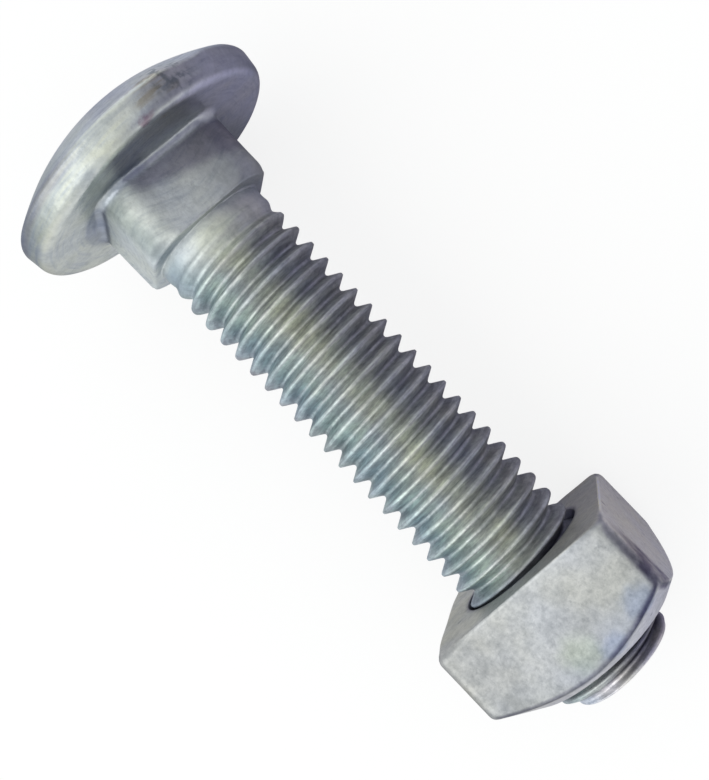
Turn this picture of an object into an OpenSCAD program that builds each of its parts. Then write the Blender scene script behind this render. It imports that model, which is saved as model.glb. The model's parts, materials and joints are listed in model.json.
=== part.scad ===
// Galvanised carriage bolt with a square nut, lying on its side: the rim of the head and one flat of
// the nut touch the ground, so the axis dips a few degrees from the head to the free end.
// The threads are stood for by plain cylinders over their crests.

/* [Thread] */
// Diameter over the thread crests
thread_d = 12.5; // [10:0.1:16]
// Advance of the nut for one turn
thread_pitch = 1.954; // [1.25:0.001:2.5]

/* [Shank] */
// Length from under the head to the free end
bolt_l = 61.5; // [45:0.5:120]
// How far the plain collar behind the square neck lies below the thread crests
collar_step = 0.35; // [0.1:0.05:0.8]
// Length of the plain collar
collar_l = 2; // [0.5:0.1:6]
// Depth of the chamfer round the free end, measured from the crests
end_chamfer = 0.75; // [0.3:0.05:1.2]
// Length of the chamfer round the free end
end_chamfer_l = 1; // [0.3:0.05:2]

/* [Head] */
// Diameter of the head
head_d = 27.5; // [24:0.1:36]
// Height of the head, from its underside to the top of the dome
head_h = 7.45; // [6:0.05:10]
// Height of the edge between the rim and the dome, measured from the underside
dome_edge_h = 2.7; // [2.4:0.1:3.6]
// Radius that rounds this edge
crown_r = 0.6; // [0.3:0.1:1]
// Draft of the rim, which narrows it towards the underside
rim_draft = 7; // [0:1:12]
// Radius that rolls the rim into the flat underside
rim_r = 1.1; // [0.5:0.1:1.5]

/* [Square neck] */
// How far each flat of the neck stands proud of the thread crests
neck_step = 0.5; // [0:0.05:0.8]
// Length of the neck under the head
neck_l = 7; // [4:0.1:12]
// Radius of the four long corners
neck_corner_r = 3; // [0.5:0.1:4]
// Radius where the neck runs into the head
neck_root_r = 0.7; // [0.3:0.1:1.2]
// How much the free end of the neck is cut back at its corners
neck_end_cut = 0.8; // [0.3:0.1:1.5]
// Turn of the neck about the axis, against the nut
neck_turn = -28; // [-45:1:45]

/* [Square nut] */
// Width across the flats
nut_w = 19.05; // [17:0.05:23]
// Thickness
nut_h = 10.2; // [7:0.1:13]
// Radius of the four long corners
nut_corner_r = 1.1; // [0.2:0.1:2]
// How far inside the flats the round outer face ends
nut_face_step = 1.2; // [0.1:0.05:1.5]
// Slope of the turned chamfer on the outer side
nut_chamfer_deg = 33; // [20:1:45]
// How far the countersunk mouths stand outside the thread crests
mouth_step = 0.55; // [0.2:0.05:1]
// Depth of each countersunk mouth
mouth_l = 0.9; // [0.3:0.05:1.5]
// Turns of thread that stand out past the nut
turns_out = 1.45; // [0:0.05:15]

/* [Fit] */
// Clearance all round between the thread crests and the nut
nut_clearance = 0.05; // [0.02:0.01:0.1]

/* [Hidden] */
$fn = 96;
ZINC = [0.72, 0.75, 0.74];
// Solids that join run this far into each other
eps = 0.01;
// Outlines that trim a solid run this far past it
past = 1;

thread_r = thread_d / 2;
collar_r = thread_r - collar_step;
end_r = thread_r - end_chamfer;

// The dome is part of a sphere through the top of the head and the sharp edge above the rim
head_r = head_d / 2;
dome_rise = head_h - dome_edge_h;
dome_r = (head_r * head_r + dome_rise * dome_rise) / (2 * dome_rise);
dome_centre = dome_r - head_h;
// The rim faces out and, by its draft, towards the underside
rim_out = [cos(rim_draft), sin(rim_draft)];
rim_along = [sin(rim_draft), -cos(rim_draft)];
// The round below the rim is a circle that touches it and the underside
roll = [head_r - (rim_r + sin(rim_draft) * (dome_edge_h - rim_r)) / cos(rim_draft), -rim_r];
// The crown is a circle inside the rim and the dome that touches both
crown_inset = head_r * rim_out[0] - (dome_centre + dome_edge_h) * rim_out[1] - crown_r;
crown = [0, dome_centre] + crown_inset * rim_out
    + sqrt(pow(dome_r - crown_r, 2) - pow(crown_inset, 2)) * rim_along;
dome_out = (crown - [0, dome_centre]) / (dome_r - crown_r);

neck_w = thread_d + 2 * neck_step;
// The neck's corners reach this far from the axis before they are cut back
neck_corner_reach = (neck_w / 2 - neck_corner_r) * sqrt(2) + neck_corner_r;

nut_r = nut_w / 2;
bore_r = thread_r + nut_clearance;
mouth_r = thread_r + mouth_step;
nut_face_r = nut_r - nut_face_step;
nut_chamfer_l = (nut_r * sqrt(2) - nut_face_r) * tan(nut_chamfer_deg);
nut_at = bolt_l - turns_out * thread_pitch - nut_h;

// Resting on the outermost point of the nut's lower flat and on the round of the rim or the crown
flat_end = nut_at + nut_h - nut_face_step * tan(nut_chamfer_deg);
function tilt_on(round, r) =
    let (rise = round[0] - nut_r, run = flat_end - round[1])
    acos(-r / norm([rise, run])) - atan2(run, rise);
rest_tilt = max(tilt_on(crown, crown_r), tilt_on(roll, rim_r));
axis_h = nut_r * cos(rest_tilt) + flat_end * sin(rest_tilt);

// The origin is on the ground, half way between the dome and the free end
dome_reach = dome_centre * cos(rest_tilt) - dome_r;
end_reach = max(
    bolt_l * cos(rest_tilt) + end_r * sin(rest_tilt),
    (bolt_l - end_chamfer_l) * cos(rest_tilt) + thread_r * sin(rest_tilt)
);
under_head_x = -(dome_reach + end_reach) / 2;

// Turns the bolt's own axis, +Z from under the head to the free end, into its place on the ground
module lying() {
    translate([under_head_x, 0, axis_h])
        rotate([0, 90 + rest_tilt, 0])
            children();
}

module rounded_square(w, r) {
    inner = w - 2 * r;
    square([w, inner], center = true);
    square([inner, w], center = true);
    for (x = [-1, 1], y = [-1, 1])
        translate([x * inner / 2, y * inner / 2])
            circle(r = r);
}

// Half section of the head: domed top, rounded crown, drafted rim rolled into the flat underside
module head_section() {
    rim_end = roll + rim_r * rim_out;
    past_dome = 2 * head_h;
    intersection() {
        union() {
            polygon([
                [0, 0], [0, -past_dome], rim_end + past_dome * rim_along, rim_end, roll, [roll[0], 0]
            ]);
            translate(roll)
                circle(r = rim_r);
        }
        union() {
            difference() {
                translate([0, dome_centre])
                    circle(r = dome_r);
                polygon([crown, crown + 2 * crown_r * dome_out, crown + 2 * crown_r * rim_out]);
            }
            translate(crown)
                circle(r = crown_r);
        }
    }
}

module head() {
    rotate_extrude()
        head_section();
}

// Section of the hollow round at the root of the neck, standing on the underside of the head
module root_section() {
    difference() {
        translate([-eps, -eps])
            square(neck_root_r + eps);
        translate([neck_root_r, neck_root_r])
            circle(r = neck_root_r);
    }
}

module neck_root() {
    side = neck_w - 2 * neck_corner_r;
    for (turn = [0:90:270])
        rotate([0, 0, turn]) {
            translate([neck_w / 2, side / 2, 0])
                rotate([90, 0, 0])
                    linear_extrude(side)
                        root_section();
            translate([side / 2, side / 2, 0])
                rotate_extrude(angle = 90)
                    translate([neck_corner_r, 0])
                        root_section();
        }
}

module neck() {
    cut_r = neck_corner_reach - neck_end_cut;
    rotate([0, 0, neck_turn]) {
        intersection() {
            translate([0, 0, -eps])
                linear_extrude(neck_l + eps)
                    rounded_square(neck_w, neck_corner_r);
            rotate_extrude()
                polygon([
                    [0, -past], [neck_corner_reach + past, -past],
                    [neck_corner_reach + past, neck_l - neck_end_cut - past],
                    [cut_r, neck_l], [0, neck_l]
                ]);
        }
        neck_root();
    }
}

// Plain collar, then the threaded length with its lead-in and the chamfered end
module shank() {
    thread_start = neck_l + collar_l;
    rotate_extrude()
        polygon([
            [0, -eps], [collar_r, -eps], [collar_r, thread_start], [thread_r, thread_start + collar_step],
            [thread_r, bolt_l - end_chamfer_l], [end_r, bolt_l], [0, bolt_l]
        ]);
}

module bolt() {
    color(ZINC)
        lying() {
            head();
            neck();
            shank();
        }
}

// Bore with a countersunk mouth at each end
module nut_bore() {
    rotate_extrude()
        polygon([
            [0, -eps], [mouth_r + eps, -eps], [bore_r, mouth_l], [bore_r, nut_h - mouth_l],
            [mouth_r + eps, nut_h + eps], [0, nut_h + eps]
        ]);
}

module nut() {
    color(ZINC)
        lying()
            translate([0, 0, nut_at])
                difference() {
                    intersection() {
                        linear_extrude(nut_h)
                            rounded_square(nut_w, nut_corner_r);
                        rotate_extrude()
                            polygon([
                                [0, -past], [nut_r * sqrt(2), -past], [nut_r * sqrt(2), nut_h - nut_chamfer_l],
                                [nut_face_r, nut_h], [0, nut_h]
                            ]);
                    }
                    nut_bore();
                }
}

bolt();
nut();
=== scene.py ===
"""A galvanised carriage bolt with a square nut screwed on near its free end, lying on a pale floor.

The bolt and the nut are each one closed skin of loops round the bolt's axis. A skin and its zinc are worked
out in the bolt's own frame, in millimetres: z runs from 0 under the head to the free end, -x faces up as the
bolt lies, -y is its lit side and +y its dim side.
"""

import json
from math import atan2, cos, degrees, pi, radians, sin, sqrt, tan

import bmesh
import bpy
import numpy as np
from mathutils import Matrix, Vector, noise


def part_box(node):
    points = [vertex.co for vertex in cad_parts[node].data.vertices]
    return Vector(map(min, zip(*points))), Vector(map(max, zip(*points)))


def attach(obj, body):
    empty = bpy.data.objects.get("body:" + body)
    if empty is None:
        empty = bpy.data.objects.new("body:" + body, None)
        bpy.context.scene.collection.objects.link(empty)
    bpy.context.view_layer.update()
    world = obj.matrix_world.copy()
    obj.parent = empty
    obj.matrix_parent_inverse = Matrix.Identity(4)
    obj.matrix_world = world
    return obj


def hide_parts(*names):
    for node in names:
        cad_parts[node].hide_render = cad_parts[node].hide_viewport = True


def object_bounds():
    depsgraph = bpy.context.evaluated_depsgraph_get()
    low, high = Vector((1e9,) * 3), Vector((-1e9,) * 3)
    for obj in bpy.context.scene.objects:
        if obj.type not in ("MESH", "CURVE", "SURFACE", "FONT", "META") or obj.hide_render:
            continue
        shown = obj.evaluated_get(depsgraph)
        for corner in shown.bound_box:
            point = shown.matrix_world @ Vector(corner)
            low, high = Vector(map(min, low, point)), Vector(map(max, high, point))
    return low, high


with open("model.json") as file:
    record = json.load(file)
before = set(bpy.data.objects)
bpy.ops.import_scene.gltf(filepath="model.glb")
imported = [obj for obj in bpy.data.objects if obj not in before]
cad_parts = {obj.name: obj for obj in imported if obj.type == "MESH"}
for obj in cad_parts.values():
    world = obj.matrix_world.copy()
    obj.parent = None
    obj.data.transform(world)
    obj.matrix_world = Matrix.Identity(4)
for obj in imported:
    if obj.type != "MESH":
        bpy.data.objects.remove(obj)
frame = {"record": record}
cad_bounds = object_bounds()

MM = 0.001

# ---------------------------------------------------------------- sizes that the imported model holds

mounts = {mount["name"]: mount for mount in frame["record"]["mounts"]}
AXIS = Vector(mounts["square_neck"]["axis"])
NECK_MIDDLE = Vector(mounts["square_neck"]["pos_m"])
UNDER_HEAD = NECK_MIDDLE - AXIS * (NECK_MIDDLE - Vector(mounts["head_seat"]["pos_m"])).dot(AXIS)


def along(mount):
    """How far a mount on the axis lies from the underside of the head, in millimetres."""
    return (Vector(mounts[mount]["pos_m"]) - UNDER_HEAD).length / MM


def side_to_side(node):
    """Width of a node across the bolt, in millimetres."""
    low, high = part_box(node)
    return (high[1] - low[1]) / MM


THREAD_R = mounts["shank"]["dims"]["r_mm"]
HEAD_R = side_to_side("bolt") / 2
NUT_R = side_to_side("nut") / 2
NECK_L = 2 * along("square_neck")
NUT_AT = 2 * along("shank") - NECK_L
NUT_H = 2 * (along("nut_flats") - NUT_AT)

# ---------------------------------------------------------------- sizes of the forging, in millimetres

HEAD_H = 7.45
# The dome and the rim would meet here if the crown didn't round their edge
DOME_EDGE_R = HEAD_R + 0.04
DOME_EDGE_H = 2.7
CROWN_R = 0.6
RIM_DRAFT = 7
RIM_R = 1.1
NECK_HALF = THREAD_R + 0.5
NECK_CORNER_R = 3
NECK_ROOT_R = 0.7
NECK_END_CUT = 0.8
NECK_TURN = radians(-28)
# The neck's end is rounded a little all round, and blended where its corners are cut back
NECK_EDGE_R = 0.25
NECK_CUT_BLEND = 0.3
# Hammer and die leave the forging and the nut this far from true, in lumps of about this size
UNEVEN = 0.065
UNEVEN_SIZE = 5.0
NUT_UNEVEN = 0.025
NUT_UNEVEN_SIZE = 4.0
# The edge between dome and rim took a knock, which pushed it in this way
DENT_AT = Vector((-8.4, 10.4, -2.9))
DENT_WAY = Vector((-DENT_AT.x, -DENT_AT.y, 4)).normalized()
DENT_R = 2.6
DENT_DEPTH = 0.3

NUT_CORNER_R = 1.1
NUT_FACE_R = NUT_R - 1.2
NUT_SLOPE = tan(radians(33))
# The nut's edges are crisp along its flats, and rounder at its corners and round its face
NUT_EDGE_R = 0.22
NUT_EDGE_CORNER_R = 0.9
FACE_EDGE_R = 0.3
MOUTH_R = THREAD_R + 0.35
MOUTH_L = 0.9
MOUTH_EDGE_R = 0.12

# The thread: 13 turns to the inch, right-handed, 60 degree flanks
PITCH = 1.954
THREAD_DEPTH = 0.61 * PITCH
CREST_FLAT = PITCH / 8
FLANK_SLOPE = 1 / tan(radians(30))
ROOT_BLEND = 0.22
CREST_BLEND = 0.1
# The nut's thread fills the bolt's but for this gap, and its own crests stop short of the bolt's roots
THREAD_GAP = 0.05
NUT_CREST_R = THREAD_R - 0.86 * THREAD_DEPTH
COLLAR_R = THREAD_R - 0.38
TURNS_OUT = 1.45
BOLT_L = NUT_AT + NUT_H + TURNS_OUT * PITCH
END_R = THREAD_R - 0.75
END_L = 1.0
END_BLEND = 0.12
END_EDGE_R = 0.15
# The shears left the free end this much out of square
END_SKEW = -tan(radians(1.5))
# A crest passes this place along the axis on the side that faces away from the ground
CREST_AT = 12.963
# The crests rise from the collar to their full height between these two places
RUN_IN = (7.5, 12.4)

# How finely the skins are divided: round the bolt, along each flat and corner of the nut, and in each pitch
BOLT_SIDES = 144
FLAT_COLUMNS = 30
CORNER_COLUMNS = 8
THREAD_ROWS = 16


# ---------------------------------------------------------------- loops round the axis


def smooth_min(a, b, blend):
    """The smaller of a and b, rounded where they meet over about the width of blend."""
    mix = np.clip(0.5 + (b - a) / (2 * blend), 0, 1)
    return b + (a - b) * mix - blend * mix * (1 - mix)


def smooth_max(a, b, blend):
    """The larger of a and b, rounded in the same way."""
    return -smooth_min(-a, -b, blend)


def smooth_step(value, start, end):
    """0 up to the start, 1 from the end on, and smooth between."""
    t = np.clip((value - start) / (end - start), 0, 1)
    return t * t * (3 - 2 * t)


def evenly(start, end, steps, ends=(True, True)):
    """Shares from start to end, with or without the two ends."""
    shares = np.linspace(0, 1, steps + 1)[0 if ends[0] else 1 : None if ends[1] else -1]
    return [start + (end - start) * share for share in shares]


def arc(centre_r, centre_z, radius, start, end, steps):
    """Loops along an arc; the angles are in degrees, 0 away from the axis and 90 towards the free end."""
    return [
        (centre_r + radius * cos(radians(a)), centre_z + radius * sin(radians(a)))
        for a in evenly(start, end, steps)
    ]


def between(start, end, steps):
    """Loops that divide the straight stretch between two places, without its ends."""
    return [
        (start[0] + (end[0] - start[0]) * share, start[1] + (end[1] - start[1]) * share)
        for share in evenly(0, 1, steps, ends=(False, False))
    ]


def rolled_over(outer_r, height, edge_r, steps):
    """Loops that roll an upright wall over into a flat face at a height."""
    return [
        (outer_r - edge_r * (1 - cos(radians(a))), height - edge_r * (1 - sin(radians(a))))
        for a in evenly(0, 90, steps, ends=(False, True))
    ]


def rounded(before, corner, after, radius, steps=4):
    """Loops that round the corner between two straight stretches.

    Each place is a pair of radius and height.
    """
    before, corner, after = np.array(np.broadcast_arrays(*before, *corner, *after), float).reshape(3, 2, -1)
    back = (before - corner) / np.linalg.norm(before - corner, axis=0)
    ahead = (after - corner) / np.linalg.norm(after - corner, axis=0)
    half = np.arccos(np.clip((back * ahead).sum(axis=0), -1, 1)) / 2
    middle = (back + ahead) / np.linalg.norm(back + ahead, axis=0)
    centre = corner + middle * radius / np.sin(half)
    first = corner + back * radius / np.tan(half) - centre
    last = corner + ahead * radius / np.tan(half) - centre
    loops = []
    for share in evenly(0, 1, steps):
        spoke = first * (1 - share) + last * share
        spoke = centre + spoke * radius / np.linalg.norm(spoke, axis=0)
        loops.append((spoke[0], spoke[1]))
    return loops


def square_radius(turns, half_width, corner_r):
    """Distance from the axis to a square with rounded corners, in the directions that turns gives."""
    facing = (turns + pi / 4) % (pi / 2) - pi / 4
    flat = half_width / np.cos(facing)
    corner = half_width - corner_r
    off = pi / 4 - np.abs(facing)
    reach = corner * sqrt(2)
    round_part = reach * np.cos(off) + np.sqrt(np.maximum(corner_r**2 - (reach * np.sin(off)) ** 2, 0))
    in_corner = np.abs(facing) > atan2(corner, half_width)
    return np.where(in_corner, round_part, flat)


def skin(name, turns, loops, thread, climb, worn, closed=False):
    """A piece whose mesh runs through the loops.

    Each loop is a pair of radius and height, alike or differing from turn to turn. The loops from the first
    to the last of thread climb as they go round, so that each one closes on the loop that lies climb places
    further. At last, worn moves each point a little.
    """
    columns = len(turns)
    loops = [np.broadcast_arrays(r, z, turns)[:2] for r, z in loops]
    radius, height = (np.array([loop[i] for loop in loops], float) for i in (0, 1))
    points = np.stack([radius * np.cos(turns), radius * np.sin(turns), height], axis=-1).reshape(-1, 3)
    points = np.array([worn(Vector(point)) for point in points])
    rows = len(loops)

    def turned(row):
        return min(max(row + climb, thread[0]), thread[1]) if thread[0] <= row <= thread[1] else row

    faces = []
    for row in range(rows if closed else rows - 1):
        ahead = (row + 1) % rows
        for column in range(columns - 1):
            here, there = row * columns + column, ahead * columns + column
            faces.append((here, here + 1, there + 1, there))
        here, there = (row + 1) * columns - 1, (ahead + 1) * columns - 1
        faces.append((here, turned(row) * columns, turned(ahead) * columns, there))
    mesh = bpy.data.meshes.new(name)
    mesh.from_pydata((points * MM).tolist(), [], faces)
    work = bmesh.new()
    work.from_mesh(mesh)
    bmesh.ops.remove_doubles(work, verts=work.verts, dist=2e-7)
    bmesh.ops.dissolve_degenerate(work, edges=work.edges, dist=1e-7)
    bmesh.ops.recalc_face_normals(work, faces=work.faces)
    work.to_mesh(mesh)
    work.free()
    mesh.transform(LYING)
    mesh.shade_smooth()
    piece = bpy.data.objects.new(name, mesh)
    bpy.context.scene.collection.objects.link(piece)
    return piece


# Turns the skins' own frame into the bolt's place on the ground
LYING = Matrix.Translation(UNDER_HEAD) @ Vector((0, 0, 1)).rotation_difference(AXIS).to_matrix().to_4x4()


# ---------------------------------------------------------------- thread


def thread_depth(turns, height):
    """Depth below the crests of the thread: narrow crest, straight flanks, rounded root."""
    phase = (height - CREST_AT) / PITCH - (turns - pi) / (2 * pi)
    from_crest = np.abs((phase + 0.5) % 1 - 0.5) * PITCH
    flank = (from_crest - CREST_FLAT / 2) * FLANK_SLOPE
    return smooth_max(smooth_min(flank, THREAD_DEPTH, ROOT_BLEND), 0.0, CREST_BLEND)


def thread_loops(turns, start, end, radius):
    """Loops that follow the thread's own slope from one height to another, cut off flat at both."""
    lead = turns / (2 * pi)
    first = int((start - CREST_AT) / PITCH * THREAD_ROWS) - THREAD_ROWS
    last = int((end - CREST_AT) / PITCH * THREAD_ROWS) + THREAD_ROWS
    loops = []
    for row in range(first, last + 1):
        height = np.clip(CREST_AT + (row / THREAD_ROWS + lead - 0.5) * PITCH, start, end)
        loops.append((radius(turns, height), height))
    return loops


# ---------------------------------------------------------------- bolt


def head_profile():
    """The centres of the crown and of the roll under the rim, and the dome's centre and radius."""
    dome_rise = HEAD_H - DOME_EDGE_H
    dome_r = (DOME_EDGE_R**2 + dome_rise**2) / (2 * dome_rise)
    dome_z = dome_r - HEAD_H
    out, down = cos(radians(RIM_DRAFT)), sin(radians(RIM_DRAFT))
    inset = DOME_EDGE_R * out - (dome_z + DOME_EDGE_H) * down - CROWN_R
    reach = sqrt((dome_r - CROWN_R) ** 2 - inset**2)
    crown = (inset * out + reach * down, dome_z + inset * down - reach * out)
    roll = (DOME_EDGE_R - (RIM_R + down * (DOME_EDGE_H - RIM_R)) / out, -RIM_R)
    return crown, roll, dome_z, dome_r


def head_loops():
    """Domed top, rounded crown, drafted rim and its roll into the flat underside."""
    crown, roll, dome_z, dome_r = head_profile()
    edge = degrees(atan2(crown[1] - dome_z, crown[0]))
    dome = arc(0, dome_z, dome_r, -90, edge, 48)
    crown_round = arc(*crown, CROWN_R, edge, RIM_DRAFT, 7)[1:]
    roll_round = arc(*roll, RIM_R, RIM_DRAFT, 90, 10)
    rim = between(crown_round[-1], roll_round[0], 5)
    return dome + crown_round + rim + roll_round


def neck_loops(turns):
    """Underside, hollow root, four flats with rounded corners, and the end cut back at the corners."""
    square = square_radius(turns - NECK_TURN, NECK_HALF, NECK_CORNER_R)
    flat_r = head_profile()[1][0]
    loops = between((flat_r, 0.0), (square + NECK_ROOT_R, 0.0), 8)
    for a in evenly(0, 90, 6):
        loops.append((square + NECK_ROOT_R * (1 - sin(radians(a))), NECK_ROOT_R * (1 - cos(radians(a)))))
    cut_r = square_radius(np.array(pi / 4), NECK_HALF, NECK_CORNER_R) - NECK_END_CUT
    for height in evenly(NECK_ROOT_R, NECK_L - NECK_EDGE_R, 22, ends=(False, True)):
        loops.append((smooth_min(square, cut_r + NECK_L - height, NECK_CUT_BLEND), height))
    end_r = smooth_min(square, cut_r + NECK_EDGE_R, NECK_CUT_BLEND)
    loops += rolled_over(end_r, NECK_L, NECK_EDGE_R, 4)
    face_r = end_r - NECK_EDGE_R
    for share in evenly(0, 1, 3, ends=(False, True)):
        loops.append((face_r + (COLLAR_R - face_r) * share, NECK_L))
    return loops


def bolt_radius(turns, height):
    """The collar, the thread that rises out of it, and the chamfer at the free end."""
    rise = smooth_step(height, *RUN_IN)
    threaded = THREAD_R - thread_depth(turns, height)
    radius = COLLAR_R + (threaded - COLLAR_R) * rise
    chamfer = END_R + (BOLT_L - height) * (THREAD_R - END_R) / END_L
    return smooth_min(radius, chamfer, END_BLEND)


def end_loops(turns):
    """The free end's face, with the thread's groove running out over its edge."""
    rim = bolt_radius(turns, BOLT_L - END_EDGE_R)
    face = [((rim - END_EDGE_R) * share, BOLT_L) for share in evenly(1, 0, 10, ends=(False, True))]
    return rolled_over(rim, BOLT_L, END_EDGE_R, 3) + face


# Without a seed, the noise would differ each time
noise.seed_set(5)


def hammered(point, size, amount):
    """Moves a point a little, together with all that lies near it."""
    return point + noise.noise_vector(point / size) * amount


def worn_bolt(point):
    """The head and the neck are as uneven as forgings are, the thread runs true, and the end is askew."""
    forged = 1 - smooth_step(point.z, NECK_L - 1, NECK_L + 2.3)
    point = hammered(point, UNEVEN_SIZE, UNEVEN * forged)
    near_dent = 1 - smooth_step((point - DENT_AT).length, 0.3 * DENT_R, DENT_R)
    point += DENT_WAY * (DENT_DEPTH * near_dent)
    point.z += END_SKEW * point.y * smooth_step(point.z, BOLT_L - 2 * END_L, BOLT_L - END_L / 2)
    return point


def make_bolt():
    turns = np.arange(BOLT_SIDES) * 2 * pi / BOLT_SIDES
    forging = head_loops() + neck_loops(turns)
    threaded = thread_loops(turns, NECK_L, BOLT_L - END_EDGE_R, bolt_radius)
    thread = (len(forging), len(forging) + len(threaded) - 1)
    loops = forging + threaded + end_loops(turns)
    return skin("carriage_bolt", turns, loops, thread, THREAD_ROWS, worn_bolt)


# ---------------------------------------------------------------- nut


def nut_columns(per_flat, per_corner):
    """Directions that divide a nut's flats and its rounded corners evenly."""
    corner = NUT_R - NUT_CORNER_R
    quarter = [atan2(place, NUT_R) for place in evenly(-corner, corner, per_flat)]
    for a in evenly(0, pi / 2, per_corner, ends=(False, False)):
        quarter.append(atan2(corner + NUT_CORNER_R * sin(a), corner + NUT_CORNER_R * cos(a)))
    return np.array([turn + quarter_turn * pi / 2 for quarter_turn in range(4) for turn in quarter])


def nut_bore_radius(turns, height):
    """The nut's thread and its countersunk mouths."""
    bore = THREAD_R + THREAD_GAP - thread_depth(turns, height)
    bore = smooth_max(bore, np.full_like(bore, NUT_CREST_R), CREST_BLEND)
    into_nut = np.minimum(height - NUT_AT, NUT_AT + NUT_H - height)
    return np.maximum(bore, MOUTH_R - into_nut * (MOUTH_R - THREAD_R) / MOUTH_L)


def worn_nut(point):
    """The outside of the nut is a little uneven too, and its bore runs true."""
    outside = smooth_step(point.xy.length, THREAD_R + 1, THREAD_R + 2)
    return hammered(point, NUT_UNEVEN_SIZE, NUT_UNEVEN * outside)


def nut_outside_loops(turns):
    """From the bearing face's mouth over the flats and the turned chamfer to the outer face's mouth."""
    outline = square_radius(turns, NUT_R, NUT_CORNER_R)
    shoulder = NUT_H - (outline - NUT_FACE_R) * NUT_SLOPE
    cornered = smooth_step(outline, NUT_R + 1, outline.max())
    edge_r = NUT_EDGE_R + (NUT_EDGE_CORNER_R - NUT_EDGE_R) * cornered
    bearing_mouth, bearing_edge = (MOUTH_R, 0.0), (outline, 0.0)
    shoulder_edge, face_edge, face_mouth = (outline, shoulder), (NUT_FACE_R, NUT_H), (MOUTH_R, NUT_H)
    bore_out, bore_in = (THREAD_R, NUT_H - MOUTH_L), (THREAD_R, MOUTH_L)
    loops = rounded(bore_in, bearing_mouth, bearing_edge, MOUTH_EDGE_R, 3)
    loops += between((MOUTH_R + MOUTH_EDGE_R, 0.0), (outline - edge_r, 0.0), 10)
    loops += rounded(bearing_mouth, bearing_edge, shoulder_edge, edge_r, 5)
    loops += between((outline, edge_r), (outline, shoulder - edge_r), 12)
    loops += rounded(bearing_edge, shoulder_edge, face_edge, edge_r, 4)
    for share in evenly(0.15, 0.85, 6):
        loops.append((outline + (NUT_FACE_R - outline) * share, shoulder + (NUT_H - shoulder) * share))
    loops += rounded(shoulder_edge, face_edge, face_mouth, FACE_EDGE_R)
    loops += between((NUT_FACE_R - FACE_EDGE_R, NUT_H), (MOUTH_R + MOUTH_EDGE_R, NUT_H), 4)
    return loops + rounded(face_edge, face_mouth, bore_out, MOUTH_EDGE_R, 3)


def make_nut():
    turns = nut_columns(FLAT_COLUMNS, CORNER_COLUMNS)
    outside = [(radius, height + NUT_AT) for radius, height in nut_outside_loops(turns)]
    bore = thread_loops(turns, NUT_AT + MOUTH_EDGE_R, NUT_AT + NUT_H - MOUTH_EDGE_R, nut_bore_radius)
    thread = (len(outside), len(outside) + len(bore) - 1)
    return skin("square_nut", turns, outside + bore[::-1], thread, -THREAD_ROWS, worn_nut, closed=True)


# ---------------------------------------------------------------- nodes of a finish


class Wire:
    """What leaves a node's socket. Arithmetic on it adds Math nodes."""

    def __init__(self, nodes, socket):
        self.nodes = nodes
        self.socket = socket

    def __add__(self, other):
        return self.nodes.maths("ADD", self, other)

    def __sub__(self, other):
        return self.nodes.maths("SUBTRACT", self, other)

    def __rsub__(self, other):
        return self.nodes.maths("SUBTRACT", other, self)

    def __mul__(self, other):
        return self.nodes.maths("MULTIPLY", self, other)

    def __truediv__(self, other):
        return self.nodes.maths("DIVIDE", self, other)

    def __pow__(self, other):
        return self.nodes.maths("POWER", self, other)

    def __neg__(self):
        return self * -1.0

    def __abs__(self):
        return self.nodes.maths("ABSOLUTE", self)

    __radd__ = __add__
    __rmul__ = __mul__


class Nodes:
    """The nodes of one material or of the world."""

    def __init__(self, owner):
        owner.use_nodes = True
        self.tree = owner.node_tree

    def add(self, kind, settings, inputs, output=0):
        """Add a node: its settings are set first, then its sockets take plain values or wires."""
        node = self.tree.nodes.new(kind)
        for name, value in settings.items():
            setattr(node, name, value)
        for name, value in inputs.items():
            self.feed(node.inputs[name], value)
        return Wire(self, node.outputs[output])

    def feed(self, socket, value):
        if isinstance(value, Wire):
            self.tree.links.new(value.socket, socket)
        else:
            socket.default_value = value

    def maths(self, operation, *values):
        return self.add("ShaderNodeMath", {"operation": operation}, dict(enumerate(values)))

    def where(self):
        """Places in the piece's own coordinates, in metres."""
        return self.add("ShaderNodeTexCoord", {}, {}, "Object")

    def parts(self, vector):
        """The three coordinates of a place."""
        split = self.add("ShaderNodeSeparateXYZ", {}, {"Vector": vector}).socket.node
        return [Wire(self, part) for part in split.outputs]

    def joined(self, x, y, z):
        return self.add("ShaderNodeCombineXYZ", {}, {"X": x, "Y": y, "Z": z})

    def ramp(self, value, low, high):
        """0 where the value is at low, 1 where it is at high, and smooth between. Low may be the larger."""
        settings = {"interpolation_type": "SMOOTHSTEP"}
        return self.add("ShaderNodeMapRange", settings, {"Value": value, "From Min": low, "From Max": high})

    def band(self, value, rise, fall):
        """Rises from 0 to 1 over the two places of rise, and falls back to 0 over those of fall."""
        return self.ramp(value, *rise) * self.ramp(value, *reversed(fall))

    def blend(self, share, start, end):
        """A colour between two others."""
        return self.add("ShaderNodeMix", {"data_type": "RGBA"}, {0: share, 6: start, 7: end}, 2)


# ---------------------------------------------------------------- zinc

# Colours of the metal under its clouds
FORGING_ZINC = (0.66, 0.68, 0.67, 1)
THREAD_ZINC = (0.62, 0.64, 0.64, 1)
NUT_ZINC = (0.56, 0.56, 0.565, 1)
COOL_CLOUD = (0.95, 0.98, 1.02, 1)
WARM_CLOUD = (1.02, 1.03, 0.98, 1)
# Colour of the gloss at a grazing angle
EDGE_GLOSS = (0.5, 0.5, 0.52, 1)
# Height of the zinc's lumps and grain, in millimetres
RELIEF = 0.02

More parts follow.
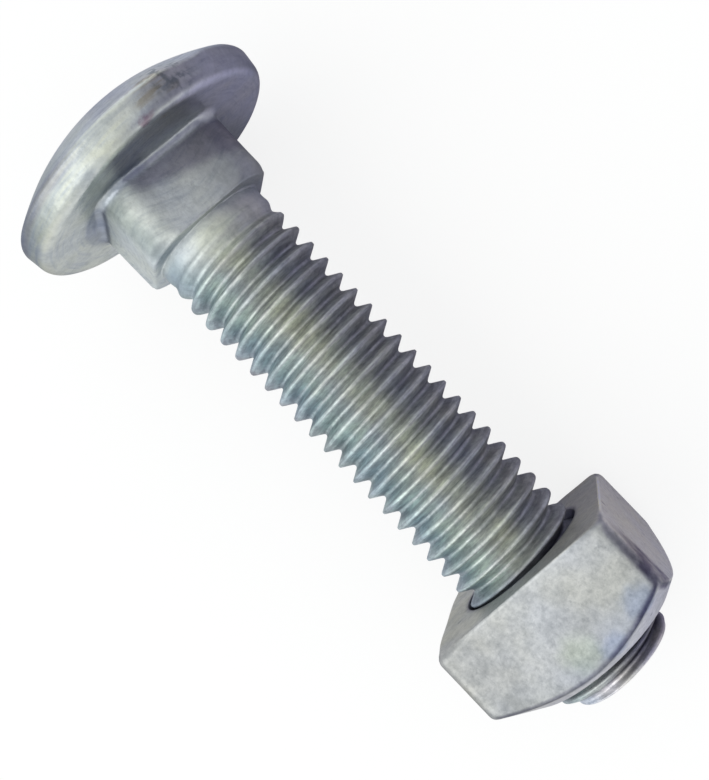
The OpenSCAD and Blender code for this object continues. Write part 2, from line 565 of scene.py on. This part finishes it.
# What each tinge does to the red, green and blue of the zinc. Many of them are painted light and shade, as
# the notes by part below say
TINGES = {
    "blotch": (0.78, 0.79, 0.80),
    "speck": (0.72, 0.73, 0.74),
    # Head: lit rim, dim dome and dim underside are painted light, and dim rim, lit crown and lit head are
    # painted shade
    "streak": (0.78, 0.80, 0.84),
    "lit rim": (1.06, 1.04, 0.92),
    "dim rim": (0.68, 0.66, 0.72),
    "dome": (1.12, 1.14, 1.20),
    "dim dome": (1.32, 1.32, 1.26),
    "lit crown": (0.72, 0.70, 0.78),
    "lit head": (0.58, 0.61, 0.66),
    "dim underside": (1.45, 1.42, 1.50),
    "soot": (0.55, 0.58, 0.60),
    "rust": (0.74, 0.68, 0.58),
    "scar": (0.66, 0.50, 0.58),
    # Neck: lit neck is painted light, and dim neck, lit corner, neck root and close to head are painted
    # shade
    "lit neck": (1.10, 1.12, 1.14),
    "dim neck": (0.70, 0.69, 0.68),
    "lit corner": (0.58, 0.60, 0.60),
    "neck root": (0.60, 0.62, 0.72),
    "close to head": (0.60, 0.58, 0.66),
    # Shank: pale, teal, blush and the warm sheen are painted light in its colours, and lit shank, lit
    # collar, dusk, dim shank, thread root, into the nut, past the nut and root past the nut are painted
    # shade
    "dark streak": (0.76, 0.75, 0.77),
    "pale streak": (1.14, 1.15, 1.12),
    "lit shank": (0.84, 0.90, 0.94),
    "lit collar": (0.76, 0.78, 0.80),
    "pale": (1.16, 1.15, 1.15),
    "teal": (0.965, 1.025, 1.0),
    "blush": (1.0, 0.91, 0.91),
    "dusk": (0.87, 0.865, 0.92),
    "dust": (1.04, 1.03, 0.92),
    "dim shank": (0.90, 0.87, 0.86),
    "thread root": (0.60, 0.60, 0.63),
    "into the nut": (0.60, 0.60, 0.68),
    "past the nut": (0.50, 0.48, 0.56),
    "root past the nut": (0.30, 0.30, 0.34),
    "end cut": (1.30, 1.22, 1.28),
    # Nut: lit nut, dim nut, seam, the band along the dim corner and bore are painted shade, and turned
    # chamfer, dim flat, bearing face, dim bearing face and the edge highlight are painted light
    "lit nut": (0.84, 0.83, 0.80),
    "dim nut": (0.90, 0.90, 0.90),
    "bluish patch": (0.80, 0.85, 0.98),
    "greenish patch": (1.00, 1.05, 0.95),
    "mark": (0.62, 0.63, 0.65),
    "beside the seam": (0.94, 0.96, 1.02),
    "seam": (0.20, 0.19, 0.30),
    "turned chamfer": (1.60, 1.55, 1.56),
    "smear": (0.30, 0.28, 0.38),
    "dim flat": (2.15, 2.06, 1.80),
    "bearing face": (1.20, 1.20, 1.18),
    "dim bearing face": (1.30, 1.26, 1.12),
    "rubbed edge": (1.25, 1.25, 1.25),
    "bore": (0.42, 0.42, 0.54),
}

# Marks on the head's rim and on the nut's upper flat: the middle of each, and how far it reaches
SOOT = ((-10.0, 9.2, -2.4), 3.2)
RUST = ((-11.2, 7.4, -1.4), 2.6)
SCAR = ((-12.3, 5.6, -0.2), 1.0)
BLUISH = [((-NUT_R, 2.9, NUT_AT + 8.7), 1.8), ((-NUT_R, 7.0, NUT_AT + 7.0), 2.0)]
GREENISH = ((-NUT_R, 0.5, NUT_AT + 7.4), 2.4)
# The painted shade along the nut's upper dim corner narrows towards the outer face at this slope
DIM_CORNER_SHADE_SLOPE = 0.46


class Zinc(Nodes):
    """Hot-dipped zinc on one piece. Once dipped, it is tinged place by place, much of it with painted light
    and shade.
    """

    def __init__(self, name):
        self.material = bpy.data.materials.new(name)
        super().__init__(self.material)
        lying = {"Location": UNDER_HEAD, "Rotation": LYING.to_euler(), "Scale": (MM, MM, MM)}
        inputs = {"Vector": self.where(), **lying}
        # Places in the bolt's own frame, in millimetres
        self.place = self.add("ShaderNodeMapping", {"vector_type": "TEXTURE"}, inputs)
        self.x, self.y, self.z = self.parts(self.place)
        self.reach = (self.x * self.x + self.y * self.y) ** 0.5

    def noise(self, size, detail, seed, roughness=0.5, place=None):
        """Clouds whose patches are about size millimetres across."""
        inputs = {"Vector": place or self.place, "W": seed, "Scale": 1 / size}
        inputs |= {"Detail": detail, "Roughness": roughness}
        return self.add("ShaderNodeTexNoise", {"noise_dimensions": "4D"}, inputs)

    def ragged(self, size, amount):
        """Places pushed about at random, so that what is drawn at them gets a ragged outline."""
        inputs = {"Vector": self.place, "Scale": 1 / size, "Detail": 3.0}
        push = self.add("ShaderNodeTexNoise", {"noise_dimensions": "3D"}, inputs, "Color")
        push = self.add("ShaderNodeVectorMath", {"operation": "SUBTRACT"}, {0: push, 1: (0.5, 0.5, 0.5)})
        push = self.add("ShaderNodeVectorMath", {"operation": "SCALE"}, {0: push, "Scale": 2 * amount})
        return self.add("ShaderNodeVectorMath", {"operation": "ADD"}, {0: self.place, 1: push})

    def spot(self, place, centre, size):
        """1 at the centre and 0 from a distance of size on."""
        ends = {0: place, 1: centre}
        away = self.add("ShaderNodeVectorMath", {"operation": "DISTANCE"}, ends, "Value")
        return self.ramp(away, size, size / 3)

    def multiply(self, share, colour):
        """Multiply the zinc's colour by another, as far as share says."""
        settings = {"data_type": "RGBA", "blend_type": "MULTIPLY"}
        self.colour = self.add("ShaderNodeMix", settings, {0: share, 6: self.colour, 7: colour}, 2)

    def tinge(self, name, share):
        self.multiply(share, (*TINGES[name], 1))

    def dip(self, base, grain):
        """Cool and warm clouds, darker blotches, and a fine mottled grain."""
        self.colour = base
        clouds = self.ramp(self.noise(5.0, 2.0, seed=1.0), 0.3, 0.7)
        self.multiply(1.0, self.blend(clouds, COOL_CLOUD, WARM_CLOUD))
        self.blotches = self.ramp(self.noise(1.5, 4.0, seed=2.0, roughness=0.65), 0.62, 0.34)
        self.tinge("blotch", self.blotches * grain)
        specks = self.ramp(self.noise(0.5, 4.0, seed=3.0, roughness=0.7), 0.38, 0.7)
        self.tinge("speck", specks * grain)

    def lumps(self):
        """The zinc's skin, a little lumpy and grainy."""
        return self.noise(0.3, 3.0, seed=4.0) + self.noise(1.3, 2.0, seed=6.0) * 2.0

    def finish(self, roughness, relief):
        """Metal of the tinged colour, with its skin raised and lowered by the relief."""
        shader = self.tree.nodes["Principled BSDF"]
        bump = {"Height": relief, "Distance": RELIEF * MM, "Strength": 1.0}
        self.feed(shader.inputs["Specular Tint"], EDGE_GLOSS)
        self.feed(shader.inputs["Base Color"], self.colour)
        self.feed(shader.inputs["Metallic"], 1.0)
        self.feed(shader.inputs["Roughness"], roughness)
        self.feed(shader.inputs["Normal"], self.add("ShaderNodeBump", {}, bump))
        return self.material


# Where a tinge lies is given in millimetres along z, across y or out from the axis, and by side, which
# runs from -1 at the lit edge to 1 at the dim one


def tinge_head(zinc, streaks):
    """The rim is streaky, and painted light and shade make it, the dome, the crown and the underside change
    from the lit side to the dim one.
    """
    z, side, edge = zinc.z, zinc.y / HEAD_R, -DOME_EDGE_H
    zinc.tinge("streak", zinc.ramp(zinc.reach, 3.0, 7.0) * zinc.ramp(streaks, 0.55, 0.3) * 0.8)
    on_rim = zinc.band(z, (edge - 0.3, edge + 0.4), (-0.6, 0.3))
    # Painted warm sheen on the lit rim, and painted shade on the dim rim
    zinc.tinge("lit rim", on_rim * zinc.ramp(side, 0.5, 0.1) * zinc.ramp(streaks, 0.35, 0.65))
    zinc.tinge("dim rim", on_rim * zinc.ramp(side, 0.35, 0.8))
    on_dome = zinc.ramp(z, edge + 0.3, edge - 0.3)
    zinc.tinge("dome", on_dome)
    # Painted light on the dome's dim side, painted shade on the lit side of the crown and head, and painted
    # light on the underside's dim side
    zinc.tinge("dim dome", on_dome * zinc.ramp(side, 0.15, 0.6))
    on_crown = zinc.band(z, (edge - 0.7, edge), (edge + 0.6, edge + 1.1))
    zinc.tinge("lit crown", on_crown * zinc.ramp(side, 0.1, -0.25))
    zinc.tinge("lit head", zinc.ramp(side, 0.2, -0.6) * zinc.ramp(z, -0.2, -1.0))
    underside = zinc.band(z, (-0.5, -0.1), (0.1, 0.5))
    zinc.tinge("dim underside", underside * zinc.ramp(zinc.y, 6.5, 10.5))


def mark_rim(zinc, streaks):
    """Soot, rust and a scar on the rim, where it took a knock."""
    ragged = zinc.ragged(1.0, 1.2)
    sooty = zinc.ramp(zinc.noise(0.9, 3.0, seed=9.0), 0.45, 0.6)
    zinc.tinge("soot", zinc.spot(ragged, *SOOT) * sooty)
    zinc.tinge("rust", zinc.spot(ragged, *RUST) * zinc.ramp(streaks, 0.4, 0.6))
    zinc.tinge("scar", zinc.spot(ragged, *SCAR))


def tinge_neck(zinc, on_neck):
    """Painted light on the lit side, and painted shade close to the head, at the root, on the dim side and
    over the highlight along the corner that catches the light.
    """
    z, side = zinc.z, zinc.y / THREAD_R
    # Painted light on the lit side, then painted shade on the dim side, over the corner's highlight, at the
    # root and on the face close to the head
    zinc.tinge("lit neck", zinc.ramp(side, -0.2, -0.5) * zinc.ramp(z, -0.2, 0.2))
    zinc.tinge("dim neck", on_neck * zinc.ramp(side, 0.5, 0.95))
    zinc.tinge("lit corner", on_neck * zinc.band(side, (-0.68, -0.5), (-0.4, -0.15)))
    root = zinc.ramp(zinc.reach, 9.5, 8.0) * zinc.band(z, (-0.5, -0.1), (0.5, 1.2))
    zinc.tinge("neck root", root * zinc.ramp(side, 0.5, 0.1))
    close = zinc.ramp(z - 0.3 * zinc.y, 2.6, 1.4) * zinc.ramp(z, 0.6, 1.1)
    zinc.tinge("close to head", close * zinc.ramp(side, -0.15, 0.1))


def streak_thread(zinc, threaded):
    """Fine streaks that follow the thread, painted shade in its roots, and painted shade on the end past the
    nut.
    """
    turned = zinc.maths("ARCTAN2", -zinc.y, -zinc.x)
    helix = (zinc.z - CREST_AT) / PITCH - turned / (2 * pi)
    drawn_out = zinc.joined(helix * 6.0, turned * 1.5, 0.0)
    fine = zinc.noise(1.0, 3.0, seed=21.0, roughness=0.7, place=drawn_out)
    around = threaded * zinc.ramp(zinc.z, BOLT_L - 0.2, BOLT_L - 0.5)
    zinc.tinge("dark streak", around * zinc.ramp(fine, 0.56, 0.4))
    zinc.tinge("pale streak", around * zinc.ramp(fine, 0.5, 0.66))
    # Painted shade in the thread's roots
    roots = threaded * zinc.ramp(zinc.reach, THREAD_R - 0.5, THREAD_R - 1.15)
    zinc.tinge("thread root", roots * 0.3)
    # Painted shade on the end past the nut, towards its dim side, and deeper in its roots away from the lit
    # edge
    past_nut = zinc.band(zinc.z, (NUT_AT + NUT_H - 1, NUT_AT + NUT_H), (BOLT_L - 1.1, BOLT_L - 0.7))
    side = zinc.y / THREAD_R
    zinc.tinge("past the nut", past_nut * zinc.ramp(side, -0.3, 0.4))
    zinc.tinge("root past the nut", past_nut * roots * zinc.ramp(side, -0.9, -0.4))


def tinge_shank(zinc, threaded):
    """Painted light and shade on the shank: teal and a blush on the lit side, pale and warm on top, and
    shade on the lit side of the shank and collar and on the dim side. The ends differ: painted shade where
    the thread goes into the nut, and a lighter free end.
    """
    z, side = zinc.z, zinc.y / THREAD_R
    on_shank = zinc.ramp(z, NECK_L, NECK_L + 1)
    # Painted shade, a little cool, on the lit side of the shank and collar
    zinc.tinge("lit shank", on_shank * zinc.ramp(side, -0.25, -0.65))
    zinc.tinge("lit collar", on_shank * zinc.ramp(side, 0.0, -0.4) * zinc.ramp(z, NECK_L + 4, NECK_L + 2))
    # Painted light on top, pale and warm, painted teal and blush light on the lit side, and painted shade on
    # the dim side
    zinc.tinge("pale", threaded * zinc.band(side, (-0.55, -0.1), (0.35, 0.75)))
    short_of_nut = zinc.ramp(z, NUT_AT + 4, NUT_AT)
    zinc.tinge("teal", threaded * zinc.band(side, (-0.8, -0.5), (-0.25, 0.05)) * short_of_nut)
    zinc.tinge("blush", threaded * zinc.ramp(side, -0.78, -0.92) * zinc.band(z, (14, 18), (25, 28)))
    zinc.tinge("dusk", threaded * zinc.band(side, (0.25, 0.5), (0.6, 0.8)))
    patchy = 0.5 + 0.5 * zinc.ramp(zinc.noise(3.0, 2.0, seed=11.0), 0.3, 0.6)
    zinc.tinge("dust", on_shank * zinc.band(side, (-0.15, 0.2), (0.35, 0.75)) * patchy)
    zinc.tinge("dim shank", on_shank * zinc.ramp(side, 0.5, 0.85))
    # Painted shade where the thread goes into the nut
    zinc.tinge("into the nut", zinc.band(z, (NUT_AT - 1, NUT_AT), (NUT_AT + 0.5, NUT_AT + 3.5)))
    zinc.tinge("end cut", zinc.ramp(z, BOLT_L - 1.1, BOLT_L - 0.7))


def bolt_zinc():
    """Streaky zinc on the forging; on the thread it is duller and rougher."""
    zinc = Zinc("bolt_zinc")
    z = zinc.z
    threaded = zinc.ramp(z, NECK_L + 1, NECK_L + 5)
    zinc.dip(zinc.blend(threaded, FORGING_ZINC, THREAD_ZINC), 0.5 + 0.3 * threaded)
    round_about = zinc.joined(zinc.x / zinc.reach * 2.5, zinc.y / zinc.reach * 2.5, (z + zinc.reach) * 2.2)
    streaks = zinc.noise(1.0, 3.0, seed=7.0, roughness=0.6, place=round_about)
    on_neck = zinc.band(z, (0.5, 1.2), (NECK_L - 0.2, NECK_L + 0.2))
    tinge_head(zinc, streaks)
    mark_rim(zinc, streaks)
    tinge_neck(zinc, on_neck)
    streak_thread(zinc, threaded)
    tinge_shank(zinc, threaded)

    beneath = zinc.band(z, (-0.6, -0.1), (0.5, 1.5))
    collar = zinc.band(z, (NECK_L - 0.5, NECK_L + 0.5), (NECK_L + 3, NECK_L + 6))
    roughness = 0.4 - 0.1 * beneath + 0.1 * collar + 0.1 * threaded + 0.08 * on_neck + 0.08 * zinc.blotches
    return zinc.finish(roughness, zinc.lumps() + threaded * zinc.noise(0.3, 3.0, seed=17.0))


def tinge_flats(zinc, across):
    """The nut's flats: painted shade towards both sides, coloured patches on top, darker marks, painted
    light on the dim flat, and a painted highlight along the bearing face's edge.
    """
    x, y, z = zinc.x, zinc.y, zinc.z
    # Painted shade towards the lit side, and towards the outer face on the dim side
    zinc.tinge("lit nut", zinc.ramp(y, 0.0, -8.0))
    zinc.tinge("dim nut", zinc.ramp(z + 0.8 * y, NUT_AT + 2, NUT_AT + 8))
    ragged = zinc.ragged(1.5, 0.8)
    for patch in BLUISH:
        zinc.tinge("bluish patch", zinc.spot(ragged, *patch))
    zinc.tinge("greenish patch", zinc.spot(ragged, *GREENISH))
    zinc.tinge("mark", zinc.ramp(zinc.noise(1.1, 3.0, seed=13.0), 0.62, 0.76))
    # Painted light on the dim flat, and a painted highlight along the bearing face's edge away from the dim
    # side
    zinc.tinge("dim flat", zinc.ramp(NUT_R - y, 0.275, 0.025) * zinc.ramp(NUT_R + x, 0.225, 1.025))
    painted_highlight = zinc.ramp(z, NUT_AT + 0.35, NUT_AT + 0.05) * zinc.ramp(across, NUT_R - 0.35, NUT_R - 0.1)
    zinc.tinge("rubbed edge", painted_highlight * zinc.ramp(NUT_R - y, 0.525, 1.525))


def tinge_chamfer(zinc, across):
    """Painted light on the turned chamfer, and painted shade along the seam where it meets the flats,
    deepest towards the dim side, and in a band along the upper dim corner.
    """
    x, y, z = zinc.x, zinc.y, zinc.z
    below = NUT_AT + NUT_H - (zinc.reach - NUT_FACE_R) * NUT_SLOPE - z
    wide = zinc.ramp(y, -2.0, 9.0)
    patchy = zinc.ramp(zinc.noise(1.6, 3.0, seed=15.0), 0.3, 0.55)
    # The seam's painted shade, deeper towards the dim side
    near = zinc.ramp(below, 0.4 + 0.3 * wide, 0.1) * zinc.ramp(NUT_R - across, 0.35, 0.1)
    seam = near * (0.6 + 0.4 * wide) * (0.7 + 0.3 * patchy) * zinc.ramp(NUT_R - y, 0.125, 0.525)
    zinc.tinge("beside the seam", zinc.ramp(below, 3.5, 0.5))
    zinc.tinge("seam", seam)
    # Painted light on the turned chamfer
    zinc.tinge("turned chamfer", zinc.ramp(NUT_R - across, 0.2, 0.7) * zinc.ramp(below, 0.3, 0.1))
    # Painted shade in a band along the upper dim corner
    widening = x - DIM_CORNER_SHADE_SLOPE * (z - NUT_AT - 2)
    smear = zinc.ramp(NUT_R - y, 0.925, 0.425) * zinc.ramp(widening, -6.2, -7.8) * zinc.ramp(x, -5.2, -6.8)
    zinc.tinge("smear", smear * zinc.ramp(z, NUT_AT, NUT_AT + 5) * (0.5 + 0.5 * patchy))


def tinge_bore(zinc):
    """The bearing face gets painted light, paler than the flats and more so on its dim side, and painted
    shade lies in the bore and round its mouths.
    """
    # Painted light on the bearing face, more on its dim side
    bearing = zinc.ramp(zinc.z, NUT_AT + 0.2, NUT_AT)
    zinc.tinge("bearing face", bearing)
    zinc.tinge("dim bearing face", bearing * zinc.ramp(zinc.y, 2.0, 7.0))
    # Painted shade in the bore and round its mouths
    ragged_reach = zinc.reach + 0.5 * zinc.noise(1.0, 2.0, seed=19.0) - 0.25
    zinc.tinge("bore", zinc.ramp(ragged_reach, MOUTH_R + 0.6, MOUTH_R - 0.3))


def nut_zinc():
    """Mottled zinc, duller than the bolt's."""
    zinc = Zinc("nut_zinc")
    across = zinc.maths("MAXIMUM", abs(zinc.x), abs(zinc.y))
    zinc.dip(NUT_ZINC, 0.7)
    tinge_flats(zinc, across)
    tinge_chamfer(zinc, across)
    tinge_bore(zinc)
    return zinc.finish(0.44 + 0.1 * zinc.blotches, zinc.lumps())


# ---------------------------------------------------------------- studio, in metres

WHITE = (1, 1, 1, 1)
SKY = (0.88, 0.90, 0.90, 1)
SEEN_RAYS = ("Is Camera Ray", "Is Glossy Ray", "Is Transmission Ray")
# The floor is pale paper that glows this much towards the eye, and runs into the sky far away
PAPER = (0.93, 0.93, 0.93)
FLOOR_SIZE = 100
FLOOR_GLOW = 0.8
FLOOR_FADE = (0.3, 5.0)

# Dark sheets that the metal's gloss sees. One lies on the floor from the bolt towards its dim side, with a
# painted shadow of the bolt on it, and one stands at its far edge.
FLAG_START = -0.006
FLAG_REACH = 0.35
FLAG_END = 0.045
FLAG_LIFT = 0.0001
# The floor flag carries a painted shadow of the bolt: dark under it, paler beside it and far off
SHADOW_UNDER_BOLT = (0.11, 0.105, 0.15, 1)
SHADOW_BESIDE_BOLT = (0.62, 0.6, 0.7, 1)
SHADOW_FAR_OFF = (0.46, 0.44, 0.55, 1)
FLAG_BESIDE = (0.013, 0.020)
FLAG_FAR = (0.03, 0.06)
STANDING_FLAG = (0.26, 0.25, 0.34)
STANDING_FLAG_H = 0.5
STANDING_FLAG_W = 2.6 * FLAG_REACH
STANDING_FLAG_TURN = radians(70)

KEY_FROM = Vector((0.0, -0.7, 0.75)).normalized()
KEY_AWAY = 0.8
KEY_SIZE = 0.9
KEY_POWER = 2.8
KEY_COLOUR = (1.0, 0.99, 0.95)

# The camera's place and aim from under the head, in millimetres along the axis, beside it and above it
CAMERA_AT = (29.61, -23.87, 97.61)
CAMERA_AIM = (26.8, 0.34, 0.08)
CAMERA_ROLL = radians(-111.8)
CAMERA_LENS = 50.4


def paper(name, colour):
    """Matt paper or cloth."""
    material = bpy.data.materials.new(name)
    material.use_nodes = True
    shader = material.node_tree.nodes["Principled BSDF"]
    shader.inputs["Base Color"].default_value = (*colour, 1)
    shader.inputs["Roughness"].default_value = 0.9
    shader.inputs["Specular IOR Level"].default_value = 0.0
    return material


def make_sheet(name, width, length, place, facing, material):
    """A flat sheet of the studio, which faces a direction."""
    mesh = bpy.data.meshes.new(name)
    corners = [(x * width / 2, y * length / 2, 0) for x, y in [(-1, -1), (1, -1), (1, 1), (-1, 1)]]
    mesh.from_pydata(corners, [], [(0, 1, 2, 3)])
    mesh.materials.append(material)
    sheet = bpy.data.objects.new(name, mesh)
    sheet.location = place
    sheet.rotation_euler = Vector(facing).to_track_quat("Z", "Y").to_euler()
    bpy.context.scene.collection.objects.link(sheet)
    return sheet


def floor_paper():
    """It glows a little towards the eye, so that it stays near white round the bolt's shadow."""
    material = paper("pale_floor", PAPER)
    nodes = Nodes(material)
    plain = Wire(nodes, nodes.tree.nodes["Principled BSDF"].outputs["BSDF"])
    seen = sum(nodes.add("ShaderNodeLightPath", {}, {}, ray) for ray in SEEN_RAYS)
    x, y, _ = nodes.parts(nodes.where())
    far = nodes.ramp((x * x + y * y) ** 0.5, *FLOOR_FADE)
    glow = nodes.add("ShaderNodeEmission", {}, {"Color": nodes.blend(far, WHITE, SKY), "Strength": 1.0})
    share = seen * (FLOOR_GLOW + (1 - FLOOR_GLOW) * far)
    mix = nodes.add("ShaderNodeMixShader", {}, {0: share, 1: plain, 2: glow})
    nodes.feed(nodes.tree.nodes["Material Output"].inputs["Surface"], mix)
    return material


def make_floor():
    make_sheet("floor", FLOOR_SIZE, FLOOR_SIZE, (0, 0, cad_bounds[0][2]), (0, 0, 1), floor_paper())


def make_flag(name, width, length, place, facing, material):
    """A dark sheet that only the metal's gloss sees: it casts no shadow and dims no other light."""
    flag = make_sheet(name, width, length, place, facing, material)
    flag.visible_camera = False
    flag.visible_diffuse = False
    flag.visible_shadow = False


def painted_floor_shadow_material():
    """A painted shadow of the bolt, seen only in the metal's gloss: dark under the bolt, and paler farther
    off.
    """
    material = paper("floor_flag", SHADOW_UNDER_BOLT[:3])
    nodes = Nodes(material)
    from_start = nodes.parts(nodes.where())[1] + FLAG_REACH / 2
    colour = nodes.blend(nodes.ramp(from_start, *FLAG_BESIDE), SHADOW_UNDER_BOLT, SHADOW_BESIDE_BOLT)
    colour = nodes.blend(nodes.ramp(from_start, *FLAG_FAR), colour, SHADOW_FAR_OFF)
    nodes.feed(nodes.tree.nodes["Principled BSDF"].inputs["Base Color"], colour)
    return material


def make_flags():
    """One flag, with a painted shadow of the bolt, lies along the bolt's dim side, under it and beside it,
    and one stands behind that.
    """
    middle = ((FLAG_END - FLAG_REACH) / 2, FLAG_START + FLAG_REACH / 2, FLAG_LIFT)
    make_flag("floor_flag", FLAG_END + FLAG_REACH, FLAG_REACH, middle, (0, 0, 1), painted_floor_shadow_material())
    towards = Vector((cos(STANDING_FLAG_TURN), sin(STANDING_FLAG_TURN), 0))
    middle = towards * FLAG_REACH + Vector((0, 0, STANDING_FLAG_H / 2))
    cloth = paper("side_flag", STANDING_FLAG)
    make_flag("side_flag", STANDING_FLAG_W, STANDING_FLAG_H, middle, -towards, cloth)


def make_key_lamp():
    """A square soft box on the bolt's lit side."""
    lamp = bpy.data.objects.new("key", bpy.data.lights.new("key", "AREA"))
    lamp.data.shape = "SQUARE"
    lamp.data.size = KEY_SIZE
    lamp.data.energy = KEY_POWER
    lamp.data.color = KEY_COLOUR
    lamp.location = (cad_bounds[0] + cad_bounds[1]) / 2 + KEY_FROM * KEY_AWAY
    lamp.rotation_euler = (-KEY_FROM).to_track_quat("-Z", "Y").to_euler()
    bpy.context.scene.collection.objects.link(lamp)


def make_world():
    world = bpy.data.worlds.new("studio")
    bpy.context.scene.world = world
    nodes = Nodes(world)
    nodes.feed(nodes.tree.nodes["Background"].inputs["Color"], SKY)


def make_camera():
    """Above the bolt and a little to its side, close enough to show its depth."""
    beside = AXIS.cross(Vector((0, 0, 1))).normalized()
    frame_axes = Matrix((AXIS, beside, beside.cross(AXIS))).transposed()
    place = UNDER_HEAD + frame_axes @ Vector(CAMERA_AT) * MM
    aim = UNDER_HEAD + frame_axes @ Vector(CAMERA_AIM) * MM
    turn = (aim - place).to_track_quat("-Z", "Y").to_matrix().to_4x4()
    camera = bpy.data.objects.new("camera", bpy.data.cameras.new("camera"))
    camera.data.lens = CAMERA_LENS
    camera.data.clip_start = 0.005
    camera.matrix_world = Matrix.Translation(place) @ turn @ Matrix.Rotation(CAMERA_ROLL, 4, "Z")
    bpy.context.scene.collection.objects.link(camera)
    bpy.context.scene.camera = camera


# ---------------------------------------------------------------- the bolt, the nut and their studio

bolt = make_bolt()
bolt.data.materials.append(bolt_zinc())
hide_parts("bolt")
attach(bolt, "bolt")

nut = make_nut()
nut.data.materials.append(nut_zinc())
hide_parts("nut")
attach(nut, "nut")

make_camera()
make_floor()
make_flags()
make_key_lamp()
make_world()
bpy.context.scene.view_settings.view_transform = "Standard"
